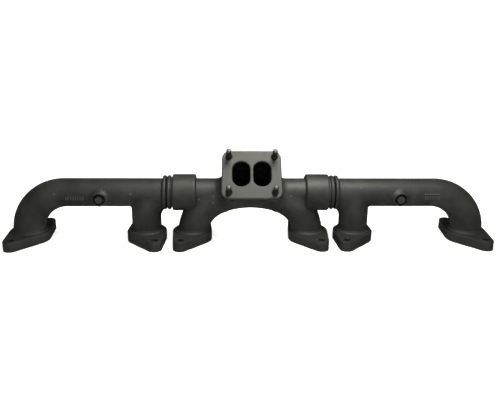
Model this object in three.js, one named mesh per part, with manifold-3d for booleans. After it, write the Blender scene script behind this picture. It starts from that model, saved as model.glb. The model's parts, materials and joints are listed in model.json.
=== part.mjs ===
// Three-piece exhaust manifold for a large in-line six-cylinder diesel engine.
// A centre casting with the turbocharger flange takes the spigots of two end castings in its bell
// sockets, sealed by split rings. Millimetres, +X along the log, -Y towards the turbo flange, +Z up.
// The six port faces stand on z = 0, and the origin is the middle of the footprint.
import * as THREE from "three";
import { mergeVertices } from "three/addons/utils/BufferGeometryUtils.js";
import Module from "manifold-3d";

const wasm = await Module();
wasm.setup();

// Ports and port flanges
const CYLINDER_PITCH = 165;
const PORT_STAGGER = 72.5; // ports of neighbouring cylinders stand in close and wide pairs
const FLANGE_THICKNESS = 21;
const BOLT_X = 21;
const BOLT_Y = 59.8;
const BOLT_HOLE_R = 7;
const LOBE_R = 14.7;
const HUB_R = 40;
const FOOT_R = 35.5;
const FOOT_HEIGHT = 3;

// Log pipe, arches and elbows
const LOG_Z = 100.5;
const LOG_R = 28.4;
const BORE_R = 22;
const RUNNER_R = 29.6;
const ELBOW_R = 31.6;
const ARCH_R = 31.2; // the arch between the inner ports, where it meets the middle of the log
const ARCH_SWELL = 1.8;
const ARCH_BORE_R = 21.5;
const ARCH_RISE = 0.75; // how upright the arch starts, as a share of the log's height
const ARCH_REACH = 0.55; // how far out the arch is still level, as a share of the port's distance
const BEND_R = LOG_Z - FLANGE_THICKNESS;

// Slip joint: bell socket, spigot and rings
const BELL_MOUTH = 156.7;
const BELL_SHOULDER = 109.6;
const BELL_R = 36.7;
const BELL_CHAMFER = 3.5;
const SOCKET_END = 118;
const SOCKET_R = 30.5;
const SLIP_GAP = 2.5;
const SPIGOT_END = 120.5;
const SPIGOT_R = 29.9;
const SPIGOT_BORE_R = 21;
const GROOVE_FIRST = 127;
const GROOVE_PITCH = 9;
const GROOVE_WIDTH = 4.2;
const GROOVE_FLOOR_R = 25.4;
const RING_COUNT = 3;
const RING_WIDTH = 3.6;
const SEAL_RING = { outer: 30.2, inner: 28.0 };
const EXPANDER_RING = { outer: 27.7, inner: 25.9 };
const RING_SPLIT = 0.05; // half of the split, in radians
const BEAD_COUNT = 2;
const BEAD_R = 34.5;
const BEAD_WAIST_R = 32.5;
const BEAD_WIDTH = 7;
const BEAD_PITCH = 8;
const BEAD_SLOPE = 2;
const BEAD_RUNOUT = 3; // from the last bead down to the pipe

// Turbocharger flange, whose face leans back from upright
const TURBO_Y = -49.6;
const TURBO_Z = 151.3;
const TURBO_LEAN = THREE.MathUtils.degToRad(35.8);
const TURBO_WIDTH_TOP = 114;
const TURBO_WIDTH_BOTTOM = 118.5;
const TURBO_HEIGHT = 98.4;
const TURBO_CORNER_R = 15;
const TURBO_THICKNESS = 16;
const INLET_WIDTH = 35;
const INLET_HEIGHT = 50;
const INLET_CORNER_R = 16;
const INLET_RISE = 1.6;
const INLET_DEPTH = 32;
const DIVIDER = 5;
const NECK_HALF_WIDTH = 50;
const NECK_SET_IN = 7; // of the neck's upper and lower sides from the flange's edges
const NECK_ON_LOG = [248, 12]; // where the neck's lower and upper sides meet the log, in degrees
const THROAT_SET_IN = 3; // of the throat from the inlet's walls
const THROAT_ON_BORE = [200, 20];

// Turbocharger studs
const STUD_SPACING_X = 88.7;
const STUD_SPACING_UP = 73;
const STUD_R = 5;
const STUD_OUT = 31;
const STUD_IN = 14;
const STUD_TIP_R = 3.8;
const STUD_TIP_LENGTH = 1.5;

// Sensor port and plug on each end casting
const SENSOR_X = 299.5;
const SENSOR_DROP = THREE.MathUtils.degToRad(12);
const SENSOR_BOSS_R = 15.5;
const SENSOR_FACE = 32;
const SENSOR_POCKET_R = 11.5;
const SENSOR_POCKET_FLOOR = 27;
const SENSOR_THREAD_R = 5;
const PLUG_HEX_R = 8;
const PLUG_START = 23;
const PLUG_END = 34;

const FIT_GAP = 0.3;
const LAP = 1; // how far joined solids run into each other, and cutting solids past a face
const SIDES = 24;
const BORE_SIDES = 20;
const SMALL_SIDES = 12;
const HEX_SIDES = 6;
const BEND_STEPS = 8;
const MERGE_DISTANCE = 1e-4;

const INNER_PORT_X = (CYLINDER_PITCH + PORT_STAGGER) / 2;
const MIDDLE_PORT_X = INNER_PORT_X + CYLINDER_PITCH - PORT_STAGGER;
const OUTER_PORT_X = MIDDLE_PORT_X + CYLINDER_PITCH + PORT_STAGGER;
const BEND_START = OUTER_PORT_X - BEND_R;

const castIron = new THREE.MeshStandardMaterial({ color: 0x3c3c38, roughness: 0.6, metalness: 0.35 });
const studSteel = new THREE.MeshStandardMaterial({ color: 0x24241f, roughness: 0.5, metalness: 0.7 });
const ringSteel = new THREE.MeshStandardMaterial({ color: 0x8d8f92, roughness: 0.35, metalness: 0.9 });
const plugSteel = new THREE.MeshStandardMaterial({ color: 0x3a3936, roughness: 0.5, metalness: 0.6 });

// Solids

function solidOf(geometry) {
  const bare = geometry.clone();
  bare.deleteAttribute("normal");
  bare.deleteAttribute("uv");
  const merged = mergeVertices(bare, MERGE_DISTANCE);
  return new wasm.Manifold(
    new wasm.Mesh({
      numProp: 3,
      vertProperties: merged.attributes.position.array,
      triVerts: new Uint32Array(merged.index.array),
    }),
  );
}

function join(solids) {
  return solids.reduce((whole, next) => whole.add(next));
}

function cut(solid, tools) {
  return tools.reduce((rest, tool) => rest.subtract(tool), solid);
}

function meshOf(name, solid, material) {
  const { vertProperties, triVerts } = solid.getMesh();
  const geometry = new THREE.BufferGeometry();
  geometry.setAttribute("position", new THREE.BufferAttribute(vertProperties, 3));
  geometry.setIndex(new THREE.BufferAttribute(triVerts, 1));
  geometry.computeVertexNormals();
  const mesh = new THREE.Mesh(geometry, material);
  mesh.name = name;
  return mesh;
}

// A shape of revolution about the log axis, from [x, radius] points in the order of rising x.
function turned(profile, sides = SIDES) {
  const points = profile.map(([x, radius]) => new THREE.Vector2(radius, x));
  const geometry = new THREE.LatheGeometry(points, sides);
  geometry.rotateZ(-Math.PI / 2).rotateX(Math.PI / sides).translate(0, 0, LOG_Z);
  return solidOf(geometry);
}

function logRod(radius, from, to, sides = SIDES) {
  return turned([[from, 0], [from, radius], [to, radius], [to, 0]], sides);
}

// A rod that stands along +Z, from one height to another.
function standingRod(radius, from, to, sides) {
  const geometry = new THREE.CylinderGeometry(radius, radius, to - from, sides);
  return geometry.rotateX(Math.PI / 2).translate(0, 0, (from + to) / 2);
}

function uprightRod(radius, x, y, from, to, sides = SMALL_SIDES) {
  return solidOf(standingRod(radius, from, to, sides).translate(x, y, 0));
}

// A round bar along a path that lies in an XZ plane, with its radius as a function of 0 to 1.
function bentBar(path, radiusAt, sides = SIDES) {
  const geometry = new THREE.CylinderGeometry(1, 1, 1, sides, BEND_STEPS);
  const position = geometry.attributes.position;
  const local = new THREE.Vector3();
  const across = new THREE.Vector3(0, 1, 0);
  for (let i = 0; i < position.count; i++) {
    local.fromBufferAttribute(position, i);
    const along = THREE.MathUtils.clamp(local.y + 0.5, 0, 1);
    const normal = new THREE.Vector3().crossVectors(path.getTangentAt(along), across);
    const radius = radiusAt(along);
    const point = path.getPointAt(along);
    point.addScaledVector(normal, local.x * radius).addScaledVector(across, -local.z * radius);
    position.setXYZ(i, point.x, point.y, point.z);
  }
  const bar = solidOf(geometry);
  return bar.volume() > 0 ? bar : solidOf(turnedInsideOut(geometry));
}

function turnedInsideOut(geometry) {
  const index = geometry.index.array;
  for (let i = 0; i < index.length; i += 3) {
    [index[i + 1], index[i + 2]] = [index[i + 2], index[i + 1]];
  }
  return geometry;
}

// Port flange: two bolt lobes on a slant round a hub, with the front bolt towards frontSide.

function hullOutline(circles) {
  const shape = new THREE.Shape();
  circles.forEach((circle, i) => {
    const before = circles[(i + circles.length - 1) % circles.length];
    const after = circles[(i + 1) % circles.length];
    const start = tangentAngle(before, circle);
    let end = tangentAngle(circle, after);
    while (end < start) end += 2 * Math.PI;
    shape.absarc(circle.x, circle.y, circle.r, start, end, false);
  });
  return shape;
}

// Direction of the outward normal of the tangent line that runs counter-clockwise between circles.
function tangentAngle(from, to) {
  const dx = to.x - from.x;
  const dy = to.y - from.y;
  const distance = Math.hypot(dx, dy);
  return Math.atan2(dy, dx) - Math.acos((from.r - to.r) / distance);
}

function portFlange(x, frontSide) {
  const front = { x: frontSide * BOLT_X, y: -BOLT_Y, r: LOBE_R };
  const back = { x: -frontSide * BOLT_X, y: BOLT_Y, r: LOBE_R };
  const hub = { x: 0, y: 0, r: HUB_R };
  const plate = new THREE.ExtrudeGeometry(hullOutline([front, hub, back, hub]), {
    depth: FLANGE_THICKNESS,
    bevelEnabled: false,
    curveSegments: 4,
  });
  const foot = uprightRod(FOOT_R, x, 0, FLANGE_THICKNESS - LAP, FLANGE_THICKNESS + FOOT_HEIGHT, SIDES);
  return solidOf(plate.translate(x, 0, 0)).add(foot);
}

function boltHoles(x, frontSide) {
  return [1, -1].map((end) => {
    const holeX = x + end * frontSide * BOLT_X;
    return uprightRod(BOLT_HOLE_R, holeX, -end * BOLT_Y, -LAP, FLANGE_THICKNESS + LAP);
  });
}

// Turbocharger flange and neck

// Turns a shape made in the flange's own plane (x across, y up the face, z out of it) into place.
function onTurboFace(geometry) {
  return solidOf(geometry.rotateX(Math.PI / 2 - TURBO_LEAN).translate(0, TURBO_Y, TURBO_Z));
}

// A point of the side view, in (y, z): up the flange face, and out of it.
function sidePoint(up, out) {
  const y = TURBO_Y + up * Math.sin(TURBO_LEAN) - out * Math.cos(TURBO_LEAN);
  const z = TURBO_Z + up * Math.cos(TURBO_LEAN) + out * Math.sin(TURBO_LEAN);
  return new THREE.Vector2(y, z);
}

// A point of the side view, in (y, z): round the log axis.
function logPoint(degrees, radius) {
  const angle = THREE.MathUtils.degToRad(degrees);
  return new THREE.Vector2(radius * Math.cos(angle), LOG_Z + radius * Math.sin(angle));
}

// A four-sided outline with rounded corners, counter-clockwise from the lower left.
function roundedOutline(widthBottom, widthTop, height, radius) {
  const corners = [
    new THREE.Vector2(-widthBottom / 2, -height / 2),
    new THREE.Vector2(widthBottom / 2, -height / 2),
    new THREE.Vector2(widthTop / 2, height / 2),
    new THREE.Vector2(-widthTop / 2, height / 2),
  ];
  const shape = new THREE.Shape();
  corners.forEach((corner, i) => {
    const before = corners[(i + corners.length - 1) % corners.length];
    const after = corners[(i + 1) % corners.length];
    const toBefore = before.clone().sub(corner).normalize();
    const toAfter = after.clone().sub(corner).normalize();
    const half = Math.acos(toBefore.dot(toAfter)) / 2;
    const reach = radius / Math.tan(half);
    const middle = toBefore.clone().add(toAfter).normalize();
    const centre = corner.clone().addScaledVector(middle, radius / Math.sin(half));
    const start = corner.clone().addScaledVector(toBefore, reach).sub(centre).angle();
    let end = corner.clone().addScaledVector(toAfter, reach).sub(centre).angle();
    if (end < start) end += 2 * Math.PI;
    shape.absarc(centre.x, centre.y, radius, start, end, false);
  });
  return shape;
}

function turboPlate() {
  const outline = roundedOutline(TURBO_WIDTH_BOTTOM, TURBO_WIDTH_TOP, TURBO_HEIGHT, TURBO_CORNER_R);
  const plate = new THREE.ExtrudeGeometry(outline, {
    depth: TURBO_THICKNESS,
    bevelEnabled: false,
    curveSegments: 3,
  });
  return onTurboFace(plate.translate(0, 0, -TURBO_THICKNESS));
}

// A side-view outline in (y, z), made as wide as from one x to another.
function sideExtrusion(points, fromX, toX) {
  const geometry = new THREE.ExtrudeGeometry(new THREE.Shape(points), {
    depth: toX - fromX,
    bevelEnabled: false,
  });
  // (y, z, x) of the drawing becomes (x, y, z) of the part.
  const turn = new THREE.Matrix4().set(0, 0, 1, fromX, 1, 0, 0, 0, 0, 1, 0, 0, 0, 0, 0, 1);
  return solidOf(geometry.applyMatrix4(turn));
}

function turboNeck() {
  const reach = TURBO_HEIGHT / 2 - NECK_SET_IN;
  const behind = -TURBO_THICKNESS + LAP;
  const [under, over] = NECK_ON_LOG;
  const outline = [
    sidePoint(-reach, behind),
    logPoint(under, LOG_R),
    logPoint(over, LOG_R),
    sidePoint(reach, behind),
  ];
  return sideExtrusion(outline, -NECK_HALF_WIDTH, NECK_HALF_WIDTH);
}

// One half of the divided inlet: a straight mouth, then a throat that turns down into the log.
function turboInlet(side) {
  const middle = (side * (INLET_WIDTH + DIVIDER)) / 2;
  const outline = roundedOutline(INLET_WIDTH, INLET_WIDTH, INLET_HEIGHT, INLET_CORNER_R);
  const mouth = new THREE.ExtrudeGeometry(outline, {
    depth: INLET_DEPTH + LAP,
    bevelEnabled: false,
    curveSegments: 4,
  });
  const reach = INLET_HEIGHT / 2 - THROAT_SET_IN;
  const start = -INLET_DEPTH + LAP;
  const [under, over] = THROAT_ON_BORE;
  const throatOutline = [
    sidePoint(INLET_RISE - reach, start),
    logPoint(under, BORE_R),
    logPoint(over, BORE_R),
    sidePoint(INLET_RISE + reach, start),
  ];
  const halfWidth = INLET_WIDTH / 2 - THROAT_SET_IN;
  const throat = sideExtrusion(throatOutline, middle - halfWidth, middle + halfWidth);
  return onTurboFace(mouth.translate(middle, INLET_RISE, -INLET_DEPTH)).add(throat);
}

// Places of the studs on the flange face: upper left, upper right, lower left, lower right.
const studPlaces = [1, -1].flatMap((up) =>
  [-1, 1].map((side) => new THREE.Vector2((side * STUD_SPACING_X) / 2, (up * STUD_SPACING_UP) / 2)),
);

function studRod(radius, place, from, to) {
  return onTurboFace(standingRod(radius, from, to, SMALL_SIDES).translate(place.x, place.y, 0));
}

function turboStud(number, place) {
  const thread = studRod(STUD_R, place, -STUD_IN, STUD_OUT - STUD_TIP_LENGTH);
  const tip = studRod(STUD_TIP_R, place, 0, STUD_OUT);
  return meshOf(`turbo_stud_${number}`, thread.add(tip), studSteel);
}

// Centre casting

function archPath(side, startZ = 0) {
  const portX = side * INNER_PORT_X;
  return new THREE.CubicBezierCurve3(
    new THREE.Vector3(portX, 0, startZ),
    new THREE.Vector3(portX, 0, ARCH_RISE * LOG_Z),
    new THREE.Vector3(portX * ARCH_REACH, 0, LOG_Z),
    new THREE.Vector3(0, 0, LOG_Z),
  );
}

function archRadius(t) {
  return THREE.MathUtils.lerp(RUNNER_R, ARCH_R, t) + ARCH_SWELL * Math.sin(Math.PI * t);
}

function bells() {
  const chamfered = BELL_R - BELL_CHAMFER;
  return turned([
    [-BELL_MOUTH, 0],
    [-BELL_MOUTH, chamfered],
    [-BELL_MOUTH + BELL_CHAMFER, BELL_R],
    [-BELL_SHOULDER - BELL_CHAMFER, BELL_R],
    [-BELL_SHOULDER, chamfered],
    [-BELL_SHOULDER, LOG_R],
    [BELL_SHOULDER, LOG_R],
    [BELL_SHOULDER, chamfered],
    [BELL_SHOULDER + BELL_CHAMFER, BELL_R],
    [BELL_MOUTH - BELL_CHAMFER, BELL_R],
    [BELL_MOUTH, chamfered],
    [BELL_MOUTH, 0],
  ]);
}

// The log's bore and both sockets, as one turned space.
function logSpace() {
  return turned([
    [-BELL_MOUTH - LAP, 0],
    [-BELL_MOUTH - LAP, SOCKET_R],
    [-SOCKET_END, SOCKET_R],
    [-SOCKET_END, BORE_R],
    [SOCKET_END, BORE_R],
    [SOCKET_END, SOCKET_R],
    [BELL_MOUTH + LAP, SOCKET_R],
    [BELL_MOUTH + LAP, 0],
  ]);
}

function dividerPlate() {
  return solidOf(new THREE.BoxGeometry(DIVIDER, 2 * LOG_Z, 2 * LOG_Z).translate(0, 0, LOG_Z));
}

function centreSection() {
  const outside = [bells(), turboPlate(), turboNeck()];
  const gasSpace = [logSpace()];
  const holes = studPlaces.map((place) => studRod(STUD_R + FIT_GAP, place, -STUD_IN - FIT_GAP, LAP));
  for (const side of [-1, 1]) {
    outside.push(portFlange(side * INNER_PORT_X, side), bentBar(archPath(side), archRadius));
    gasSpace.push(bentBar(archPath(side, -LAP), () => ARCH_BORE_R, BORE_SIDES), turboInlet(side));
    holes.push(...boltHoles(side * INNER_PORT_X, side));
  }
  const divided = join(gasSpace).subtract(dividerPlate());
  return meshOf("centre_section", cut(join(outside), [divided, ...holes]), castIron);
}

// End casting, made for the +X end. The -X one is its mirror image.

class Elbow extends THREE.Curve {
  getPoint(t, target = new THREE.Vector3()) {
    const angle = (t * Math.PI) / 2;
    const x = BEND_START + BEND_R * Math.sin(angle);
    return target.set(x, 0, FLANGE_THICKNESS + BEND_R * Math.cos(angle));
  }
}

function elbowRadius(t) {
  return THREE.MathUtils.lerp(LOG_R, ELBOW_R, Math.sin((t * Math.PI) / 2));
}

function spigotAndPipe() {
  const shoulder = BELL_MOUTH + SLIP_GAP;
  const profile = [
    [SPIGOT_END, 0],
    [SPIGOT_END, SPIGOT_R],
  ];
  for (let i = 0; i < RING_COUNT; i++) {
    const from = GROOVE_FIRST + i * GROOVE_PITCH - GROOVE_WIDTH / 2;
    const to = from + GROOVE_WIDTH;
    profile.push([from, SPIGOT_R], [from, GROOVE_FLOOR_R], [to, GROOVE_FLOOR_R], [to, SPIGOT_R]);
  }
  profile.push([shoulder, SPIGOT_R]);
  for (let i = 0; i < BEAD_COUNT; i++) {
    const start = shoulder + i * BEAD_PITCH;
    const end = start + BEAD_WIDTH;
    profile.push([start, BEAD_WAIST_R], [start + BEAD_SLOPE, BEAD_R]);
    profile.push([end - BEAD_SLOPE, BEAD_R], [end, BEAD_WAIST_R]);
  }
  const lastBeadEnd = shoulder + (BEAD_COUNT - 1) * BEAD_PITCH + BEAD_WIDTH;
  profile.push([lastBeadEnd + BEAD_RUNOUT, LOG_R], [BEND_START + LAP, LOG_R], [BEND_START + LAP, 0]);
  return turned(profile);
}

// A rod round the sensor port's axis, which leaves the log forwards and slightly down.
function sensorRod(radius, from, to, sides = SMALL_SIDES) {
  const rod = standingRod(radius, from, to, sides);
  return solidOf(rod.rotateX(Math.PI / 2 + SENSOR_DROP).translate(SENSOR_X, 0, LOG_Z));
}

function endSectionSolid() {
  const elbow = new Elbow();
  const outside = [
    spigotAndPipe(),
    bentBar(elbow, elbowRadius),
    portFlange(OUTER_PORT_X, 1),
    portFlange(MIDDLE_PORT_X, -1),
    uprightRod(RUNNER_R, MIDDLE_PORT_X, 0, FLANGE_THICKNESS - LAP, LOG_Z, SIDES),
    sensorRod(SENSOR_BOSS_R, 0, SENSOR_FACE, BORE_SIDES),
  ];
  const inside = [
    logRod(SPIGOT_BORE_R, SPIGOT_END - LAP, BEND_START + LAP, BORE_SIDES),
    bentBar(elbow, () => SPIGOT_BORE_R, BORE_SIDES),
    uprightRod(SPIGOT_BORE_R, OUTER_PORT_X, 0, -LAP, FLANGE_THICKNESS + LAP, BORE_SIDES),
    uprightRod(SPIGOT_BORE_R, MIDDLE_PORT_X, 0, -LAP, LOG_Z, BORE_SIDES),
    sensorRod(SENSOR_POCKET_R, SENSOR_POCKET_FLOOR, SENSOR_FACE + LAP, BORE_SIDES),
    sensorRod(SENSOR_THREAD_R, 0, SENSOR_FACE),
    ...boltHoles(OUTER_PORT_X, 1),
    ...boltHoles(MIDDLE_PORT_X, -1),
  ];
  return cut(join(outside), inside);
}

function sensorPlugSolid() {
  const head = sensorRod(PLUG_HEX_R, SENSOR_POCKET_FLOOR + FIT_GAP, PLUG_END, HEX_SIDES);
  const shank = sensorRod(SENSOR_THREAD_R - FIT_GAP, PLUG_START, SENSOR_POCKET_FLOOR + LAP);
  return head.add(shank);
}

function ringSolid({ outer, inner }, middle) {
  const shape = new THREE.Shape();
  shape.absarc(0, 0, outer, RING_SPLIT, 2 * Math.PI - RING_SPLIT, false);
  shape.absarc(0, 0, inner, 2 * Math.PI - RING_SPLIT, RING_SPLIT, true);
  const geometry = new THREE.ExtrudeGeometry(shape, {
    depth: RING_WIDTH,
    bevelEnabled: false,
    curveSegments: SIDES / 2,
  });
  // The split faces up, and the ring's axis turns from +Z to +X.
  geometry.rotateZ(Math.PI).rotateY(Math.PI / 2).translate(middle - RING_WIDTH / 2, 0, LOG_Z);
  return solidOf(geometry);
}

function endGroup(end) {
  const group = new THREE.Group();
  group.add(meshOf(`${end}_end_section`, endSectionSolid(), castIron));
  group.add(meshOf(`${end}_port_plug`, sensorPlugSolid(), plugSteel));
  for (let i = 0; i < RING_COUNT; i++) {
    const middle = GROOVE_FIRST + i * GROOVE_PITCH;
    group.add(meshOf(`${end}_seal_ring_${i + 1}`, ringSolid(SEAL_RING, middle), ringSteel));
    group.add(meshOf(`${end}_expander_ring_${i + 1}`, ringSolid(EXPANDER_RING, middle), ringSteel));
  }
  return group;
}

const manifold = new THREE.Group();
manifold.add(centreSection());
studPlaces.forEach((place, i) => manifold.add(turboStud(i + 1, place)));
const rearEnd = endGroup("rear");
const frontEnd = endGroup("front");
frontEnd.scale.x = -1;
manifold.add(rearEnd, frontEnd);

// The footprint's middle becomes the origin.
const box = new THREE.Box3().setFromObject(manifold);
manifold.position.y = -(box.min.y + box.max.y) / 2;

export default manifold;
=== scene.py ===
"""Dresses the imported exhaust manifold: cast surfaces, threaded studs, plugs, rings, finishes and light.

Shapes are worked out in millimetres and turned into metres when a mesh is made. In the shape
functions x runs along the log, y is measured from the log's axis and z from the port faces.
The castings are signed distances: a function gives how far a point is outside the iron.
"""

import json
import math

import bmesh
import bpy
import numpy as np
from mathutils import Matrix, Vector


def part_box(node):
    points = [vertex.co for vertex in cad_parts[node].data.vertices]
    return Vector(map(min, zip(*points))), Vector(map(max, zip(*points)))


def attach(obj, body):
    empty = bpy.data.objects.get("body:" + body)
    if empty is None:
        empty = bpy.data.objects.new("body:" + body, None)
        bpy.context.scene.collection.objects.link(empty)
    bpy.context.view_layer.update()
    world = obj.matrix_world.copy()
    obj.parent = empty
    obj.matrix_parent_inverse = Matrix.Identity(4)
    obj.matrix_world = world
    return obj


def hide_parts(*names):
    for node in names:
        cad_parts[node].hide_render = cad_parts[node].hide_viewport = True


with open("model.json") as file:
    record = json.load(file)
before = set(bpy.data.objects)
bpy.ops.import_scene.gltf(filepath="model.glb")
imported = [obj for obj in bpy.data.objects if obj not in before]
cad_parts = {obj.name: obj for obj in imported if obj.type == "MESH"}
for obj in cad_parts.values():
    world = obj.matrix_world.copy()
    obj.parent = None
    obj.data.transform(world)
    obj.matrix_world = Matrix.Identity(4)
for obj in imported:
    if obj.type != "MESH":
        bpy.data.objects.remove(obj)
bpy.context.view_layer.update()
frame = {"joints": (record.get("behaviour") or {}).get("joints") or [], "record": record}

import openvdb
from mathutils import Matrix, Vector

MM = 0.001
mounts = {mount["name"]: mount for mount in frame["record"]["mounts"]}
joints = {joint["name"]: joint for joint in frame["joints"]}


def in_mm(point):
    return [value / MM for value in point]


def box_mm(node):
    low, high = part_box(node)
    return in_mm(low), in_mm(high)


# Places given by the frame
_, AXIS_Y, AXIS_Z = in_mm(joints["rear_swivel"]["pos_m"])
INNER_PORT_X, MIDDLE_PORT_X, OUTER_PORT_X = (
    in_mm(mounts[f"port_face_{number}"]["pos_m"])[0] for number in (4, 5, 6)
)
SPIGOT_END = box_mm("rear_end_section")[0][0]
FACE_LEAN = math.asin(mounts["turbo_face"]["axis"][2])
# The turbo face's mount is this far up the face from its middle
FACE_MOUNT_UP = 38
_, FACE_MOUNT_Y, FACE_MOUNT_Z = in_mm(mounts["turbo_face"]["pos_m"])
FACE_Y = FACE_MOUNT_Y - AXIS_Y - FACE_MOUNT_UP * math.sin(FACE_LEAN)
FACE_Z = FACE_MOUNT_Z - FACE_MOUNT_UP * math.cos(FACE_LEAN)

# Port flanges. BOLT_X and BOLT_Y are how far a bolt hole is from the port's centre
FLANGE_THICKNESS = 21
BOLT_X = 21
BOLT_Y = 59.8
BOLT_HOLE_R = 7
LOBE_R = 14.7
HUB_R = 40
FOOT_R = 35.5
FOOT_TOP = FLANGE_THICKNESS + 3
HALF_FLANGE = FLANGE_THICKNESS / 2

# Log, runners, arch and elbows. The arch's centre line is a curve with two handles: straight up from
# the port by ARCH_RISE of the log's height, and out along the log by ARCH_REACH of the port's distance
LOG_R = 28.4
BORE_R = 22
RUNNER_R = 29.6
RUNNER_SHOULDER = 1.8
ELBOW_R = 31.6
ARCH_R = 31.2
ARCH_SWELL = 1.8
ARCH_BORE_R = 21.5
ARCH_RISE = 0.75
ARCH_REACH = 0.55
ARCH_POINTS = 49
BEND_R = AXIS_Z - FLANGE_THICKNESS
BEND_START = OUTER_PORT_X - BEND_R

# Slip joint
BELL_MOUTH = 156.7
BELL_SHOULDER = 109.6
BELL_R = 36.7
BELL_ROUND = 3.6
SOCKET_END = 118
SOCKET_R = 30.5
SLIP_GAP = 2.5
SPIGOT_R = 29.9
SPIGOT_LAP = 4
SPIGOT_BORE_R = 21
JOINT_END = BELL_MOUTH + SLIP_GAP
BEAD_R = 34.5
BEAD_HALF_WIDTH = 3.7
BEAD_HALF_DEPTH = 5
BEAD_ROUND = 3.2
BEAD_FILLET = 0.8
BEAD_MIDDLES = (JOINT_END + 3.9, JOINT_END + 12.9)
RING_NUMBERS = (1, 2, 3)
GROOVE_WIDTH = 4.2
GROOVE_FLOOR_R = 25.4

# Turbocharger flange and neck
FACE_WIDTH_TOP = 114
FACE_WIDTH_BOTTOM = 118.5
FACE_HEIGHT = 98.4
FACE_CORNER_R = 15
FACE_EDGE = 1.5
FACE_THICKNESS = 16
FACE_FILLET = 4
INLET_WIDTH = 35
INLET_HEIGHT = 50
INLET_CORNER_R = 16.5
INLET_RISE = 1.6
INLET_DEPTH = 32
THROAT_SET_IN = 2
THROAT_SET_DOWN = 3
THROAT_LAP = 4
THROAT_ROUND = 6
THROAT_SIDE_ROUND = 8
THROAT_UNDER_ANGLE = 200
THROAT_OVER_ANGLE = 20
DIVIDER = 5
DIVIDER_ROUND = 2
STUD_SPACING_X = 88.7
STUD_SPACING_UP = 73
STUD_HOLE_R = 5.3
STUD_HOLE_DEPTH = 14.3
STUD_HOLE_CHAMFER = 1.4
NECK_HALF_WIDTH = 50
NECK_NARROWEST = 48
NECK_WIDEST = 55
NECK_FLARE = 0.09
NECK_FLARE_DEPTH = 82
NECK_SET_IN = 7
NECK_LAP = 2
NECK_UNDER_ANGLE = 248
NECK_OVER_ANGLE = 12
PAD_MIDDLE_X = 1.2
PAD_HALF_WIDTH = 32
PAD_MIDDLE = 30.5
PAD_HALF_HEIGHT = 6.7
PAD_CORNER_R = 3
PAD_DEPTH = 3.2

# Sensor port
SENSOR_X = 299.5
SENSOR_DROP = math.radians(12)
SENSOR_BOSS_R = 15.5
SENSOR_FACE = 32
SENSOR_POCKET_R = 11.5
SENSOR_POCKET_FLOOR = 27
SENSOR_THREAD_R = 5.2

# Roundings. A fillet fades to its least size where two surfaces run into each other side by side
CAST_EDGE = 2.4
MACHINED_EDGE = 0.9
CRISP_EDGE = 0.4
BOSS_EDGE = 1.4
SMALL_FILLET = 1.2
FOOT_FILLET = 3.2
LOG_FILLET = 3.5
LOG_LEAST_FILLET = 0.3
BELL_SIDE_FILLET = 23
SIDE_BAND = 12
BOSS_FILLET = 5.5
ARCH_FILLET = 16
ARCH_LEAST_FILLET = 0.5
NECK_FILLET = 20
NECK_LEAST_FILLET = 1
NECK_SIDE_ROUND = 19
BORE_FILLET = 4
THROAT_FILLET = 5
RUNNER_BORE_FILLET = 3


# Signed distances

def joined(a, b, fillet):
    """Both solids, with a round fillet where they meet."""
    near = np.hypot(np.maximum(fillet - a, 0), np.maximum(fillet - b, 0))
    return np.maximum(fillet, np.minimum(a, b)) - near


def shared(a, b, edge):
    """What both solids hold, with a rounded edge where their surfaces meet."""
    near = np.hypot(np.maximum(edge + a, 0), np.maximum(edge + b, 0))
    return np.minimum(-edge, np.maximum(a, b)) + near


def without(a, b, edge):
    return shared(a, -b, edge)


def slab(value, low, high):
    return np.maximum(low - value, value - high)


def eased(value, low, high):
    """0 below low, 1 above high, and smooth between them."""
    t = np.clip((value - low) / (high - low), 0, 1)
    return t * t * (3 - 2 * t)


def uneven_capsule(across, along, near_r, far_r, length):
    """The outline round a circle at the origin and another one at length, in two dimensions."""
    across = np.abs(across)
    slope = (near_r - far_r) / length
    level = math.sqrt(1 - slope * slope)
    side = along * level - across * slope
    middle = across * level + along * slope - near_r
    far = np.hypot(across, along - length) - far_r
    near = np.hypot(across, along) - near_r
    return np.where(side < 0, near, np.where(side > level * length, far, middle))


def rounded_rectangle(u, v, half_width, half_height, corner_r):
    out_u = np.abs(u) - half_width + corner_r
    out_v = np.abs(v) - half_height + corner_r
    outside = np.hypot(np.maximum(out_u, 0), np.maximum(out_v, 0))
    return outside + np.minimum(np.maximum(out_u, out_v), 0) - corner_r


def upright_rod(x, y, z, place, radius, low, high, edge):
    return shared(np.hypot(x - place[0], y - place[1]) - radius, slab(z, low, high), edge)


# Port flange: two bolt lobes on a slant round a hub

def port_flange(x, y, z, port_x, front_side):
    u = x - port_x
    reach = math.hypot(BOLT_X, BOLT_Y)
    slant_x, slant_y = front_side * BOLT_X / reach, -BOLT_Y / reach
    along = u * slant_x + y * slant_y
    across = u * slant_y - y * slant_x
    outline = uneven_capsule(across, np.abs(along), HUB_R, LOBE_R, reach)
    plate = shared(shared(outline, z - FLANGE_THICKNESS, CAST_EDGE), -z, MACHINED_EDGE)
    foot = upright_rod(x, y, z, (port_x, 0), FOOT_R, HALF_FLANGE, FOOT_TOP, SMALL_FILLET)
    return joined(plate, foot, SMALL_FILLET)


def bolt_holes(x, y, port_x, front_side):
    holes = [
        np.hypot(x - port_x - end * front_side * BOLT_X, y + end * BOLT_Y) - BOLT_HOLE_R
        for end in (1, -1)
    ]
    return np.minimum(*holes)


# Turbocharger flange: points of the side view, up the face and out of it

def face_axes(y, z):
    sine, cosine = math.sin(FACE_LEAN), math.cos(FACE_LEAN)
    up = (y - FACE_Y) * sine + (z - FACE_Z) * cosine
    out = (z - FACE_Z) * sine - (y - FACE_Y) * cosine
    return up, out


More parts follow.
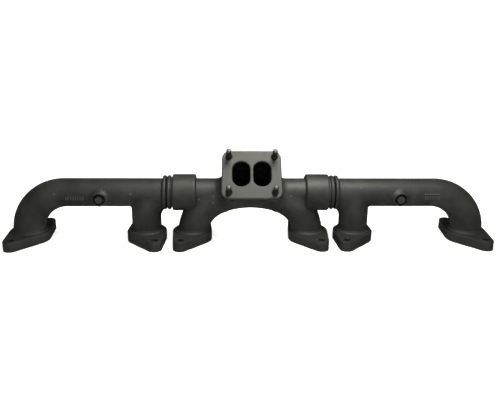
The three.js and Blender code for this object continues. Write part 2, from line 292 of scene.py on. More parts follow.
def side_point(up, out):
    sine, cosine = math.sin(FACE_LEAN), math.cos(FACE_LEAN)
    return np.array([FACE_Y + up * sine - out * cosine, FACE_Z + up * cosine + out * sine])


def log_point(degrees, radius):
    angle = math.radians(degrees)
    return np.array([radius * math.cos(angle), AXIS_Z + radius * math.sin(angle)])


class SidePlane:
    """A plane seen edge on in the side view, through two points, with outside on the left."""

    def __init__(self, start, end):
        along = (end - start) / np.hypot(*(end - start))
        self.start = start
        self.along = along
        self.normal = np.array([-along[1], along[0]])

    def distance(self, y, z):
        return (y - self.start[0]) * self.normal[0] + (z - self.start[1]) * self.normal[1]

    def along_distance(self, y, z):
        return (y - self.start[0]) * self.along[0] + (z - self.start[1]) * self.along[1]


neck_reach = FACE_HEIGHT / 2 - NECK_SET_IN
neck_foot = log_point(NECK_UNDER_ANGLE, LOG_R)
neck_top = log_point(NECK_OVER_ANGLE, LOG_R)
neck_under = SidePlane(neck_foot, side_point(-neck_reach, -FACE_THICKNESS))
neck_over = SidePlane(side_point(neck_reach, -FACE_THICKNESS), neck_top)
neck_back = SidePlane(neck_top, neck_foot)

throat_reach = INLET_HEIGHT / 2 - THROAT_SET_DOWN
throat_foot = log_point(THROAT_UNDER_ANGLE, BORE_R)
throat_top = log_point(THROAT_OVER_ANGLE, BORE_R)
throat_under = SidePlane(throat_foot, side_point(INLET_RISE - throat_reach, -INLET_DEPTH))
throat_over = SidePlane(side_point(INLET_RISE + throat_reach, -INLET_DEPTH), throat_top)


def turbo_plate(x, y, z):
    """The turbo flange's plate, a little narrower at its top."""
    up, out = face_axes(y, z)
    share_up = up / FACE_HEIGHT + 0.5
    half_width = (FACE_WIDTH_BOTTOM + (FACE_WIDTH_TOP - FACE_WIDTH_BOTTOM) * share_up) / 2
    squeezed = x / half_width * FACE_WIDTH_TOP / 2
    outline = rounded_rectangle(squeezed, up, FACE_WIDTH_TOP / 2, FACE_HEIGHT / 2, FACE_CORNER_R)
    plate = shared(outline, -FACE_THICKNESS - out, CAST_EDGE)
    return shared(plate, out, FACE_EDGE)


def turbo_neck(x, y, z):
    """The box from the log up to the plate, with a machined strip let into its underside."""
    under = neck_under.distance(y, z)
    over = neck_over.distance(y, z)
    _, out = face_axes(y, z)
    half_width = NECK_HALF_WIDTH + NECK_FLARE * (out + NECK_FLARE_DEPTH)
    sides = np.abs(x) - np.clip(half_width, NECK_NARROWEST, NECK_WIDEST)
    body = shared(shared(under, over, CAST_EDGE), sides, NECK_SIDE_ROUND)
    along = neck_under.along_distance(y, z)
    pad_u, pad_v = x - PAD_MIDDLE_X, along - PAD_MIDDLE
    pad = rounded_rectangle(pad_u, pad_v, PAD_HALF_WIDTH, PAD_HALF_HEIGHT, PAD_CORNER_R)
    body = without(body, np.maximum(pad, -PAD_DEPTH - under), SMALL_FILLET / 2)
    behind_face = out + FACE_THICKNESS - NECK_LAP
    return np.maximum(np.maximum(body, behind_face), neck_back.distance(y, z))


def turbo_inlet(x, y, z):
    """Both halves of the divided inlet, for x at and above zero."""
    up, out = face_axes(y, z)
    u = np.abs(x) - (INLET_WIDTH + DIVIDER) / 2
    mouth = rounded_rectangle(u, up - INLET_RISE, INLET_WIDTH / 2, INLET_HEIGHT / 2, INLET_CORNER_R)
    mouth = np.maximum(mouth, -INLET_DEPTH - out)
    throat = shared(throat_under.distance(y, z), throat_over.distance(y, z), THROAT_ROUND)
    throat = shared(throat, np.abs(u) - INLET_WIDTH / 2 + THROAT_SET_IN, THROAT_SIDE_ROUND)
    throat = np.maximum(throat, out + INLET_DEPTH - THROAT_LAP)
    below = AXIS_Z - z
    return joined(mouth, np.maximum(throat, below), BORE_FILLET)


def stud_holes(x, y, z):
    up, out = face_axes(y, z)
    around = np.hypot(np.abs(x) - STUD_SPACING_X / 2, np.abs(up) - STUD_SPACING_UP / 2)
    countersink = around - STUD_HOLE_R - STUD_HOLE_CHAMFER - out
    return np.maximum(np.minimum(around - STUD_HOLE_R, countersink), -STUD_HOLE_DEPTH - out)


# Arch between the inner ports

def arch_points():
    """The centre line of one half of the arch, in (x, z), and how far along each point is."""
    t = np.linspace(0, 1, ARCH_POINTS)
    weights = np.array([(1 - t) ** 3, 3 * (1 - t) ** 2 * t, 3 * (1 - t) * t**2, t**3])
    corners_x = np.array([INNER_PORT_X, INNER_PORT_X, INNER_PORT_X * ARCH_REACH, 0])
    corners_z = np.array([0, ARCH_RISE * AXIS_Z, AXIS_Z, AXIS_Z])
    return corners_x @ weights, corners_z @ weights, t


def nearest_on_arch(x, z):
    """Offset in x and z from the nearest point of the arch's centre line, and how far along it is."""
    line_x, line_z, share = arch_points()
    x, z = np.broadcast_arrays(x, z)
    least = np.full(x.shape, np.inf)
    best = [np.zeros(x.shape) for _ in range(3)]
    for i in range(ARCH_POINTS - 1):
        step_x, step_z = line_x[i + 1] - line_x[i], line_z[i + 1] - line_z[i]
        from_x, from_z = x - line_x[i], z - line_z[i]
        along = np.clip((from_x * step_x + from_z * step_z) / (step_x**2 + step_z**2), 0, 1)
        off_x, off_z = from_x - along * step_x, from_z - along * step_z
        square = off_x**2 + off_z**2
        closer = square < least
        least = np.where(closer, square, least)
        found = (off_x, off_z, share[i] + along * (share[i + 1] - share[i]))
        best = [np.where(closer, new, old) for new, old in zip(found, best)]
    return best


def centre_outside(x, y, z):
    """Everything the mould gives the centre casting, down to the port faces."""
    x = np.abs(x)
    height = z - AXIS_Z
    from_axis = np.hypot(y, height)
    log = np.maximum(from_axis - LOG_R, x - BELL_SHOULDER - BELL_ROUND)
    off_x, off_z, share = nearest_on_arch(x, z)
    from_line = np.sqrt(off_x**2 + off_z**2 + y**2)
    arch_r = RUNNER_R + (ARCH_R - RUNNER_R) * share + ARCH_SWELL * np.sin(math.pi * share)
    arch = from_line - arch_r
    same_way = (y**2 + height * off_z) / np.maximum(from_axis * from_line, 1)
    body = joined(log, arch, ARCH_LEAST_FILLET + ARCH_FILLET * np.clip(1 - same_way, 0, 1))

    neck = turbo_neck(x, y, z)
    normal_y, normal_z = neck_under.normal
    facing = (y * normal_y + height * normal_z) / np.maximum(from_axis, 1)
    on_side = eased(x, NECK_HALF_WIDTH - SIDE_BAND, NECK_HALF_WIDTH)
    fillet = NECK_LEAST_FILLET + NECK_FILLET * np.clip(1 - facing * (1 - on_side), 0, 1)
    body = joined(body, neck, fillet)
    body = joined(body, turbo_plate(x, y, z), FACE_FILLET)

    bell = shared(from_axis - BELL_R, slab(x, BELL_SHOULDER, BELL_MOUTH), BELL_ROUND)
    body = joined(body, bell, SMALL_FILLET)
    body = joined(body, port_flange(x, y, z, INNER_PORT_X, 1), FOOT_FILLET)
    return np.maximum(body, -z)


def centre_inside(x, y, z):
    """The two halves of the gas side, with the divider between them, and the sockets."""
    x = np.abs(x)
    from_axis = np.hypot(y, z - AXIS_Z)
    socket = shared(from_axis - SOCKET_R, SOCKET_END - x, MACHINED_EDGE)
    log = np.maximum(from_axis - BORE_R, x - SOCKET_END - 1)
    off_x, off_z, _ = nearest_on_arch(x, z)
    arch = np.sqrt(off_x**2 + off_z**2 + y**2) - ARCH_BORE_R
    below_port = np.maximum(np.hypot(x - INNER_PORT_X, y) - ARCH_BORE_R, z)
    space = joined(joined(log, arch, BORE_FILLET), turbo_inlet(x, y, z), THROAT_FILLET)
    space = np.minimum(np.minimum(space, socket), below_port)
    return shared(space, DIVIDER / 2 - x, DIVIDER_ROUND)


def centre_hollows(x, y, z):
    """The gas passages and the bolt holes, which are dark inside."""
    return np.minimum(centre_inside(x, y, z), bolt_holes(np.abs(x), y, INNER_PORT_X, 1))


def centre_section(x, y, z):
    iron = without(centre_outside(x, y, z), centre_hollows(x, y, z), MACHINED_EDGE)
    return without(iron, stud_holes(x, y, z), CRISP_EDGE)


# End casting, made for the end at positive x

END_PORTS = ((MIDDLE_PORT_X, -1), (OUTER_PORT_X, 1))


def pipe_and_elbow(x, y, z, pipe_r, elbow_r):
    """A pipe along the log's axis that bends down to the outer port and grows to elbow_r there."""
    sweep_x = np.maximum(x - BEND_START, 0)
    sweep_z = np.maximum(z - AXIS_Z + BEND_R, 0)
    reach = np.hypot(sweep_x, sweep_z)
    turn = sweep_x / np.maximum(reach, 1)
    return np.hypot(reach - BEND_R, y) - (pipe_r + (elbow_r - pipe_r) * turn)


def sensor_axes(x, y, z):
    """Distance from the sensor port's axis, and out along it from the log's axis."""
    height = z - AXIS_Z
    out = -y * math.cos(SENSOR_DROP) - height * math.sin(SENSOR_DROP)
    aside = height * math.cos(SENSOR_DROP) - y * math.sin(SENSOR_DROP)
    return np.hypot(x - SENSOR_X, aside), out


def ring_middle(number):
    low, high = box_mm(f"rear_seal_ring_{number}")
    return (low[0] + high[0]) / 2


def ring_grooves(x, from_axis):
    middles = [ring_middle(number) for number in RING_NUMBERS]
    grooves = [slab(x, middle - GROOVE_WIDTH / 2, middle + GROOVE_WIDTH / 2) for middle in middles]
    return np.maximum(np.minimum.reduce(grooves), GROOVE_FLOOR_R - from_axis)


def end_outside(x, y, z):
    """Everything the mould gives an end casting, and its spigot with the ring grooves turned in it."""
    height = z - AXIS_Z
    from_axis = np.hypot(y, height)
    pipe = np.maximum(pipe_and_elbow(x, y, z, LOG_R, ELBOW_R), JOINT_END - x)

    rise = np.maximum(height, 0)
    from_runner = np.sqrt((x - MIDDLE_PORT_X) ** 2 + y**2 + rise**2)
    runner = from_runner - RUNNER_R + RUNNER_SHOULDER * eased(z, AXIS_Z - LOG_R, AXIS_Z)
    same_way = (y**2 + height * rise) / np.maximum(from_axis * from_runner, 1)
    to_bell = 1 - eased(x, MIDDLE_PORT_X - SIDE_BAND, MIDDLE_PORT_X + SIDE_BAND)
    fillet = LOG_FILLET + (BELL_SIDE_FILLET - LOG_FILLET) * to_bell
    body = joined(pipe, runner, LOG_LEAST_FILLET + fillet * np.clip(1 - same_way, 0, 1))

    for middle in BEAD_MIDDLES:
        from_middle = from_axis - BEAD_R + BEAD_HALF_DEPTH
        bead = rounded_rectangle(x - middle, from_middle, BEAD_HALF_WIDTH, BEAD_HALF_DEPTH, BEAD_ROUND)
        body = joined(body, bead, BEAD_FILLET)
    for port_x, front_side in END_PORTS:
        body = joined(body, port_flange(x, y, z, port_x, front_side), FOOT_FILLET)

    aside, out = sensor_axes(x, y, z)
    boss = shared(aside - SENSOR_BOSS_R, slab(out, 0, SENSOR_FACE), BOSS_EDGE)
    body = joined(body, boss, BOSS_FILLET)
    spigot = shared(from_axis - SPIGOT_R, slab(x, SPIGOT_END, JOINT_END + SPIGOT_LAP), SMALL_FILLET)
    body = np.minimum(body, without(spigot, ring_grooves(x, from_axis), CRISP_EDGE))
    return np.maximum(body, -z)


def end_inside(x, y, z):
    bore = pipe_and_elbow(x, y, z, SPIGOT_BORE_R, SPIGOT_BORE_R)
    runner = np.maximum(np.hypot(x - MIDDLE_PORT_X, y) - SPIGOT_BORE_R, z - AXIS_Z)
    below_port = np.maximum(np.hypot(x - OUTER_PORT_X, y) - SPIGOT_BORE_R, z - FLANGE_THICKNESS)
    return joined(np.minimum(bore, below_port), runner, RUNNER_BORE_FILLET)


def end_hollows(x, y, z):
    """The gas passages, the bolt holes and the sensor port's pocket and thread."""
    aside, out = sensor_axes(x, y, z)
    pocket = np.maximum(aside - SENSOR_POCKET_R, SENSOR_POCKET_FLOOR - out)
    thread = np.maximum(aside - SENSOR_THREAD_R, -out)
    sensor_port = np.minimum(pocket, thread)
    holes = np.minimum(*[bolt_holes(x, y, port_x, front_side) for port_x, front_side in END_PORTS])
    return np.minimum(np.minimum(end_inside(x, y, z), holes), sensor_port)


def end_section(x, y, z):
    return without(end_outside(x, y, z), end_hollows(x, y, z), MACHINED_EDGE)


# Cast marks: raised bars and small dots that stand where a foundry puts its marks

MARK_HEIGHT = 0.7
MARK_MARGIN = 2.5
MARK_CORNER = 0.7
MARK_SLOPE = (-0.4, 0.6)
BAR_SHARE = 0.27


def bar_row(first_x, last_x, count, z, half_height):
    """A row of upright bars, as (x, z, half width, half height)."""
    half_width = BAR_SHARE * (last_x - first_x) / count
    return [(x, z, half_width, half_height) for x in np.linspace(first_x, last_x, count)]


FRONT_MARKS = bar_row(-364, -331, 8, 96, 4) + [(-386.6, 104.6, 3, 1.6), (-238.2, 104.6, 2.2, 1.6)]
REAR_MARKS = bar_row(349, 377, 7, 97, 3.2) + [(362, 104.7, 15, 0.9), (220.9, 115.5, 2.2, 1.4)]
CENTRE_MARKS = [
    (-104, 94, 2.6, 1.4),
    (-75.4, 99.3, 1.6, 1.6),
    (-75.4, 88, 1.8, 1.2),
    (79.1, 100.4, 1.8, 1.8),
]


def relief(x, y, z, marks):
    """How far the marks stand out of the casting's front."""
    lift = np.zeros(np.shape(x))
    for mark_x, mark_z, half_width, half_height in marks:
        corner = MARK_CORNER * min(half_width, half_height)
        outline = rounded_rectangle(x - mark_x, z - mark_z, half_width, half_height, corner)
        lift = np.maximum(lift, MARK_HEIGHT * (1 - eased(outline, *MARK_SLOPE)))
    return np.where(y < 0, lift, 0)


# Meshes

VOXEL = 1.85
MARGIN = 4
GRADIENT_STEP = 0.05
LEAST_SLOPE = 0.5
SHARP_ANGLE = math.radians(28)


def mesh_from(name, points, faces):
    mesh = bpy.data.meshes.new(name)
    mesh.from_pydata((np.asarray(points) * MM).tolist(), [], faces)
    mesh.update()
    mesh.shade_smooth()
    return mesh


def new_piece(name, mesh, material, body, node):
    piece = bpy.data.objects.new(name, mesh)
    bpy.context.scene.collection.objects.link(piece)
    mesh.materials.append(material)
    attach(piece, body)
    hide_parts(node)


def spread_over(mesh, name, values):
    """Stores one number for each point of a mesh, for a material to read."""
    attribute = mesh.attributes.new(name, "FLOAT", "POINT")
    attribute.data.foreach_set("value", np.asarray(values, dtype=np.float32))


def points_of(mesh):
    """A mesh's points, in millimetres."""
    found = np.empty(len(mesh.vertices) * 3)
    mesh.vertices.foreach_get("co", found)
    return found.reshape(-1, 3) / MM


def gradient(field, points):
    parts = []
    for shift in GRADIENT_STEP * np.eye(3):
        rise = field(*(points + shift).T) - field(*(points - shift).T)
        parts.append(rise / (2 * GRADIENT_STEP))
    return np.stack(parts, axis=1)


def settled(field, points, rounds=2):
    """Moves points onto the surface of the field."""
    for _ in range(rounds):
        slope = gradient(field, points)
        square = np.maximum((slope**2).sum(axis=1), LEAST_SLOPE**2)
        step = np.clip(field(*points.T) / square, -VOXEL, VOXEL)
        points = points - slope * step[:, None]
    return points


def surface(field, low, high, half=False):
    """Points and faces of the surface of a field in a box. half mirrors a field about x = 0."""
    counts = [math.ceil((b - a + 2 * MARGIN) / VOXEL) for a, b in zip(low, high)]
    starts = [VOXEL / 2 if half and i == 0 else low[i] - MARGIN for i in range(3)]
    x, y, z = (
        start + VOXEL * np.arange(count, dtype=np.float32) for start, count in zip(starts, counts)
    )
    values = field(x[:, None, None], y[None, :, None], z[None, None, :]).astype(np.float32)
    if half:
        values = np.concatenate([values[::-1], values])
        starts[0] -= VOXEL * counts[0]
    grid = openvdb.FloatGrid(MARGIN)
    grid.copyFromArray(np.ascontiguousarray(values))
    points, quads = grid.convertToQuads(0.0)
    points = points.astype(float) * VOXEL + np.array(starts)
    return settled(field, points), quads[:, ::-1]


def near_mark(point, mark):
    mark_x, mark_z, half_width, half_height = mark
    past_end = max(abs(point.x - mark_x) - half_width, abs(point.z - mark_z) - half_height)
    return point.y < 0 and past_end < MARK_MARGIN


def refined_near_marks(points, faces, marks):
    """Splits the faces under the marks, so that their edges come out crisp."""
    mesh = mesh_from("marked", points, faces.tolist())
    work = bmesh.new()
    work.from_mesh(mesh)
    near = set()
    for face in work.faces:
        middle = face.calc_center_median() / MM
        if any(near_mark(middle, mark) for mark in marks):
            near.add(face)
    edges = [edge for edge in work.edges if not near.isdisjoint(edge.link_faces)]
    bmesh.ops.subdivide_edges(work, edges=edges, cuts=2, use_grid_fill=True)
    work.to_mesh(mesh)
    work.free()
    points = points_of(mesh)
    faces = [list(face.vertices) for face in mesh.polygons]
    bpy.data.meshes.remove(mesh)
    return points, faces


# How far into and out of the iron wear and painted shade are felt for, and over how much they fade
WEAR_REACH = 2.5
WEAR_FADE = 1.5
PASSAGE_SHADE_FADE = (0.2, 1.4)
LEAST_NORMAL = 0.1

# Painted shadow lies on the port flanges' tops, round the runners' feet, where the log shades them
LEDGE_SLOPE = (0.15, 0.6)
LEDGE_TOP = (FOOT_TOP + 4, FOOT_TOP + 8)


def casting(name, shapes, skin, marks, body, node):
    """A finished casting: marks raised, and wear, painted shade and machined places noted for its
    material.
    """
    shape, hollows, machined = shapes
    points, faces = refined_near_marks(*skin, marks)

    def marked(x, y, z):
        return shape(x, y, z) - relief(x, y, z, marks)

    points = settled(marked, points, 1)
    slope = gradient(shape, points)
    normal = slope / np.maximum(np.linalg.norm(slope, axis=1), LEAST_NORMAL)[:, None]
    mesh = mesh_from(name, points + np.array([0, AXIS_Y, 0]), faces)
    below = shape(*(points - normal * WEAR_REACH).T)
    above = shape(*(points + normal * WEAR_REACH).T)
    edge = np.clip((below + WEAR_REACH) / WEAR_FADE, 0, 1)
    spread_over(mesh, "edge", edge)
    # Concave places are given painted shade
    spread_over(mesh, "hollow", np.clip((WEAR_REACH - above) / WEAR_FADE, 0, 1))
    spread_over(mesh, "mark", relief(*points.T, marks) / MARK_HEIGHT)
    low_down = 1 - eased(points[:, 2], *LEDGE_TOP)
    # The flange tops under the log are given a painted shadow
    spread_over(mesh, "ledge_shadow", eased(normal[:, 2], *LEDGE_SLOPE) * low_down * (1 - edge))
    # The gas passages and bolt holes are painted dark as shade
    spread_over(mesh, "inside", 1 - eased(hollows(*points.T), *PASSAGE_SHADE_FADE))
    spread_over(mesh, "machined", machined(*points.T))
    new_piece(name, mesh, cast_iron, body, node)


# 1 on the faces that a cutter has been over, and 0 on the cast skin, with the change in between

def machined_ports(z):
    return 1 - eased(z, 0.3, 0.9)


def machined_centre(x, y, z):
    up, out = face_axes(y, z)
    on_plate = 1 - eased(np.abs(up) - FACE_HEIGHT / 2, -0.2, 0.4)
    turbo_face = eased(out, -0.9, -0.2) * on_plate
    in_bore = 1 - eased(np.hypot(y, z - AXIS_Z) - SOCKET_R, 0.5, 2)
    sockets = in_bore * eased(np.abs(x) - SOCKET_END, -2, 0)
    return np.maximum.reduce([turbo_face, machined_ports(z), sockets])


def machined_end(x, y, z):
    spigot = 1 - eased(np.abs(x) - JOINT_END, -0.8, 0.4)
    return np.maximum(machined_ports(z), spigot)


def lathe(name, radius_at, heights, segments):
    """A closed turned form up the z axis. radius_at gives the radius at an angle and a height."""
    angles = np.linspace(0, 2 * math.pi, segments, endpoint=False)
    points = []
    for height in heights:
        radii = radius_at(angles, height)
        ring = [radii * np.cos(angles), radii * np.sin(angles), np.full(segments, height)]
        points += np.stack(ring, 1).tolist()
    faces = []
    for row in range(len(heights) - 1):
        low, high = row * segments, (row + 1) * segments
        for i in range(segments):
            j = (i + 1) % segments
            faces.append((low + i, low + j, high + j, high + i))
    points += [(0, 0, heights[0]), (0, 0, heights[-1])]
    last = (len(heights) - 1) * segments
    for i in range(segments):
        j = (i + 1) % segments
        faces.append((len(points) - 2, j, i))
        faces.append((len(points) - 1, last + i, last + j))
    return mesh_from(name, points, faces)


# Studs

STUD_R = 5
STUD_OUT = 31
STUD_IN = 14
STUD_TIP_R = 3.8
STUD_TIP_LENGTH = 1.5
STUD_TIP_FADE = (STUD_OUT - 1.6, STUD_OUT - 0.4)
THREAD_PITCH = 1.5
THREAD_DEPTH = 0.92
THREAD_FLANK = 2.4
THREAD_CREST = 0.1
THREAD_SEGMENTS = 40
ROWS_PER_TURN = 10


def thread_radius(angles, height):
    turn = (height / THREAD_PITCH - angles / (2 * math.pi)) % 1
    groove = np.clip(THREAD_FLANK * np.abs(turn - 0.5) - THREAD_CREST, 0, 1)
    crest = STUD_R - THREAD_DEPTH * groove
    tip = STUD_TIP_R + (STUD_OUT - height) * (STUD_R - STUD_TIP_R) / STUD_TIP_LENGTH
    return np.minimum(crest, tip)


def stud_mesh(name):
    rows = round((STUD_OUT + STUD_IN) / THREAD_PITCH * ROWS_PER_TURN)
    mesh = lathe(name, thread_radius, np.linspace(-STUD_IN, STUD_OUT, rows), THREAD_SEGMENTS)
    x, y, z = points_of(mesh).T
    spread_over(mesh, "crest", eased(np.hypot(x, y), STUD_R - THREAD_DEPTH, STUD_R))
    spread_over(mesh, "tip", eased(z, *STUD_TIP_FADE))
    return mesh


def add_studs():
    """A stud in each corner of the turbo flange, each with its thread started at its own angle."""
    names = [f"turbo_stud_{number}" for number in (1, 2, 3, 4)]
    corners = [(side, up) for up in (1, -1) for side in (-1, 1)]
    for name, (side, up) in zip(names, corners):
        y, z = side_point(up * STUD_SPACING_UP / 2, 0)
        lean = Matrix.Rotation(math.pi / 2 - FACE_LEAN, 4, "X")
        place = Matrix.Translation(Vector((side * STUD_SPACING_X / 2, AXIS_Y + y, z)) * MM)
        mesh = stud_mesh(name)
        mesh.transform(place @ lean @ Matrix.Rotation(side + 2 * up, 4, "Z"))
        new_piece(f"{name}_thread", mesh, stud_steel, "centre", name)


# Plugs

PLUG_HEX_R = 8
PLUG_START = 23
PLUG_END = 34
PLUG_THREAD_R = SENSOR_THREAD_R - 0.25
PLUG_SEAT = SENSOR_POCKET_FLOOR + 0.3
PLUG_SEGMENTS = 72
PLUG_STEPS_UP = (0.2, 0.31, 0.5, 0.7, 1)
PLUG_STEPS_DOWN = (0.9, 0.6, 0.3, 0.12, 0)
PLUG_TURN = 0.2
HEX_ANGLE = math.radians(60)
HEX_CHAMFER = math.tan(math.radians(30))
HEX_END_R = PLUG_HEX_R * 0.93


def plug_radius(angles, height):
    """A round thread below the seat and a hexagon above it, chamfered at both ends."""
    if height < SENSOR_POCKET_FLOOR:
        return np.full(angles.shape, PLUG_THREAD_R)
    flats = PLUG_HEX_R * math.cos(HEX_ANGLE / 2) / np.cos(angles % HEX_ANGLE - HEX_ANGLE / 2)
    from_end = min(height - PLUG_SEAT, PLUG_END - height)
    return np.minimum(flats, HEX_END_R + from_end / HEX_CHAMFER)


def add_plug(side, end_name):
    bottom = SENSOR_POCKET_FLOOR + np.array(PLUG_STEPS_UP)
    top = PLUG_END - np.array(PLUG_STEPS_DOWN)
    heights = np.concatenate([[PLUG_START], bottom, top])
    mesh = lathe(f"{end_name}_plug", plug_radius, heights, PLUG_SEGMENTS)
    mesh.set_sharp_from_angle(angle=SHARP_ANGLE)
    tilt = Matrix.Rotation(math.pi / 2 + SENSOR_DROP, 4, "X")
    place = Matrix.Translation(Vector((side * SENSOR_X, AXIS_Y, AXIS_Z)) * MM)
    mesh.transform(place @ tilt @ Matrix.Rotation(PLUG_TURN * side, 4, "Z"))
    node = f"{end_name}_port_plug"
    new_piece(f"{end_name}_hex_plug", mesh, plug_steel, f"{end_name}_end", node)


# Rings

RING_SPLIT = 0.05
SEAL_RING = (28.0, 30.2)
EXPANDER_RING = (25.9, 27.7)
RING_WIDTH = 3.6
RING_EDGE = 0.25
RING_STATIONS = 193


def ring_mesh(name, inner_r, outer_r, middle_x):
    """A split ring with broken edges round the log's axis, open at the top."""
    half = RING_WIDTH / 2
    outline = []
    for radius, turn in ((inner_r, -1), (outer_r, 1)):
        broken = radius - turn * RING_EDGE
        outline += [(broken, -turn * half), (radius, -turn * (half - RING_EDGE))]
        outline += [(radius, turn * (half - RING_EDGE)), (broken, turn * half)]
    angles = np.linspace(RING_SPLIT / 2, 2 * math.pi - RING_SPLIT / 2, RING_STATIONS)
    points = [
        (middle_x + along, AXIS_Y + radius * math.sin(angle), AXIS_Z + radius * math.cos(angle))
        for angle in angles
        for radius, along in outline
    ]
    count = len(outline)
    faces = []
    for row in range(RING_STATIONS - 1):
        here, beyond = row * count, (row + 1) * count
        for i in range(count):
            j = (i + 1) % count
            faces.append((here + i, beyond + i, beyond + j, here + j))
    last = (RING_STATIONS - 1) * count
    faces += [list(range(count)), list(range(last, last + count))[::-1]]
    mesh = mesh_from(name, points, faces)
    work = bmesh.new()
    work.from_mesh(mesh)
    bmesh.ops.recalc_face_normals(work, faces=work.faces)
    work.to_mesh(mesh)
    work.free()
    mesh.set_sharp_from_angle(angle=SHARP_ANGLE)
    return mesh


def add_rings(side, end_name):
    for number in RING_NUMBERS:
        for kind, (inner_r, outer_r) in (("seal", SEAL_RING), ("expander", EXPANDER_RING)):
            node = f"{end_name}_{kind}_ring_{number}"
            mesh = ring_mesh(node, inner_r, outer_r, side * ring_middle(number))
            new_piece(f"{node}_split", mesh, ring_steel, f"{end_name}_ring_pack", node)


# Finishes

class Value:
    """A number that changes over a surface. Arithmetic on it adds Math nodes."""

    def __init__(self, nodes, socket):
        self.nodes = nodes
        self.socket = socket

    def __add__(self, other):
        return self.nodes.maths("ADD", self, other)

    def __mul__(self, other):
        return self.nodes.maths("MULTIPLY", self, other)

    def __sub__(self, other):
        return self.nodes.maths("SUBTRACT", self, other)

    def __rsub__(self, other):
        return self.nodes.maths("SUBTRACT", other, self)

    __radd__ = __add__
    __rmul__ = __mul__


class Nodes:
    """The nodes of a material or of the world, and the patterns that are made with them."""

    def __init__(self, tree):
        self.tree = tree

    def node(self, kind, settings, inputs):
        made = self.tree.nodes.new(kind)
        for setting, value in settings.items():
            setattr(made, setting, value)
        for socket, value in inputs.items():
            self.feed(made.inputs[socket], value)
        return made

    def feed(self, socket, value):
        if isinstance(value, Value):
            value = value.socket
        if isinstance(value, bpy.types.NodeSocket):
            self.tree.links.new(value, socket)
        else:
            socket.default_value = value

    def maths(self, operation, *values):
        made = self.node("ShaderNodeMath", {"operation": operation}, dict(enumerate(values)))
        return Value(self, made.outputs[0])

    def between(self, value, low, high, curve="SMOOTHSTEP"):
        """0 at low and 1 at high, smooth between them unless another curve is asked for."""
        inputs = {"Value": value, "From Min": low, "From Max": high}
        made = self.node("ShaderNodeMapRange", {"interpolation_type": curve}, inputs)
        return Value(self, made.outputs["Result"])

    def place(self, space="Object"):
        return self.node("ShaderNodeTexCoord", {}, {}).outputs[space]

    def height(self, place):
        made = self.node("ShaderNodeSeparateXYZ", {}, {"Vector": place})
        return Value(self, made.outputs["Z"])

    def stretched(self, place, factors):
        made = self.node("ShaderNodeVectorMath", {"operation": "MULTIPLY"}, {0: place, 1: factors})
        return made.outputs[0]

    def noise(self, place, scale, detail, roughness):
        inputs = {"Vector": place, "Scale": scale, "Detail": detail, "Roughness": roughness}
        return Value(self, self.node("ShaderNodeTexNoise", {}, inputs).outputs[0])

    def spread(self, name):
        """A number that was stored for each point of the mesh."""
        made = self.node("ShaderNodeAttribute", {"attribute_name": name}, {})
        return Value(self, made.outputs["Fac"])

    def blend(self, share, a, b):
        """Colour a where share is 0 and colour b where it is 1. Sockets 6 and 7 take colours."""
        made = self.node("ShaderNodeMix", {"data_type": "RGBA"}, {0: share, 6: a, 7: b})
        return made.outputs[2]


class Finish(Nodes):
    """A material with one Principled shader."""

    def __init__(self, name, constants):
        self.material = bpy.data.materials.new(name)
        self.material.use_nodes = True
        super().__init__(self.material.node_tree)
        self.shader = self.tree.nodes["Principled BSDF"]
        for socket, value in constants.items():
            self.shader.inputs[socket].default_value = value

    def set(self, colour, roughness, relief, relief_depth):
        """Feeds the shader. relief is a height from 0 to 1, and relief_depth its depth in metres."""
        inputs = {"Height": relief, "Distance": relief_depth, "Strength": 1.0}
        bump = self.node("ShaderNodeBump", {}, inputs)
        self.feed(self.shader.inputs["Base Color"], colour)
        self.feed(self.shader.inputs["Roughness"], roughness)
        self.feed(self.shader.inputs["Normal"], bump.outputs["Normal"])


IRON_DARK = (0.012, 0.012, 0.0112, 1)
IRON_LIGHT = (0.022, 0.0217, 0.0195, 1)
IRON_RUBBED = (0.050, 0.049, 0.044, 1)
IRON_TOWARDS_BOTTOM = (0.013, 0.013, 0.0136, 1)
RUST_TINT = (0.026, 0.019, 0.013, 1)
PAINTED_SHADE = (0.0045, 0.0044, 0.004, 1)
CUT_IRON = (0.039, 0.0385, 0.036, 1)
CUT_IRON_STAINED = (0.031, 0.0302, 0.028, 1)
PASSAGE_SHADE = (0.0035, 0.0035, 0.0034, 1)


